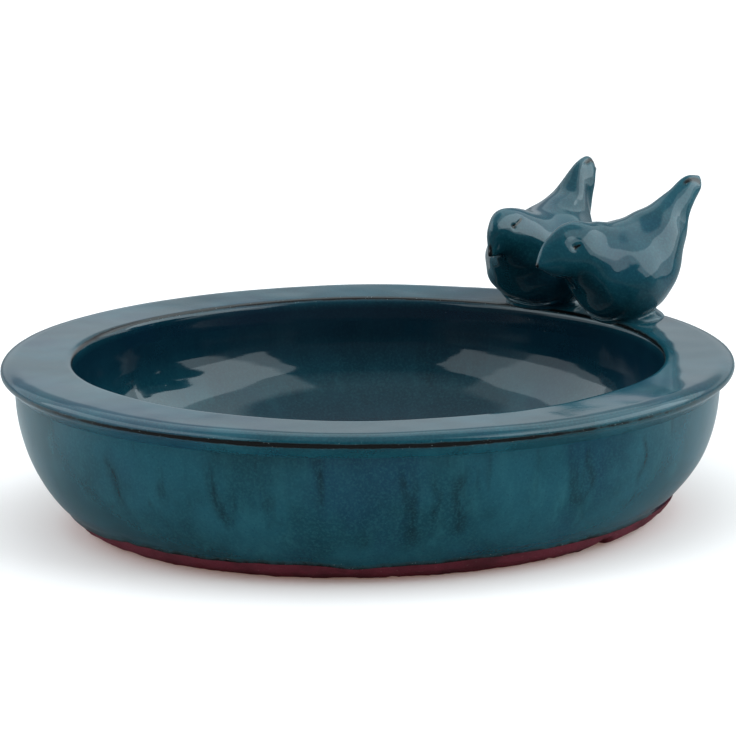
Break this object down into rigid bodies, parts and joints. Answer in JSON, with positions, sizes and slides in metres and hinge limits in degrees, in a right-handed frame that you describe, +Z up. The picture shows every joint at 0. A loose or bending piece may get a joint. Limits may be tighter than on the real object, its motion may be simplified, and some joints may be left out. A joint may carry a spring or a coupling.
{
  "type": "bird bath",
  "caption": "Shallow round glazed earthenware bird bath with a broad flat rim, a rounded belly, a bare clay foot ring and perched pottery birds.",
  "frame": {"origin": "centre of the foot ring's underside, on the ground", "axes": "+Z up; +X to the right and +Y away, seen from the side where the birds perch at the back right"},
  "size_m": [0.31, 0.31, 0.1239],
  "materials": {
    "bare_clay": "unglazed dark red clay, matt",
    "wall_glaze": "glossy mottled teal glaze, with runs",
    "rim_glaze": "glossy teal glaze, breaking brown on the edges",
    "basin_glaze": "glossy dark teal glaze",
    "bird_glaze": "glossy teal glaze, breaking brown on the edges"
  },
  "bodies": {
    "root": {"foot_ring": "bare_clay", "outer_wall": "wall_glaze", "rim": "rim_glaze", "basin": "basin_glaze", "front_bird_seat": "bird_glaze", "front_bird": "bird_glaze", "rear_bird_seat": "bird_glaze", "rear_bird": "bird_glaze"}
  },
  "joints": []
}
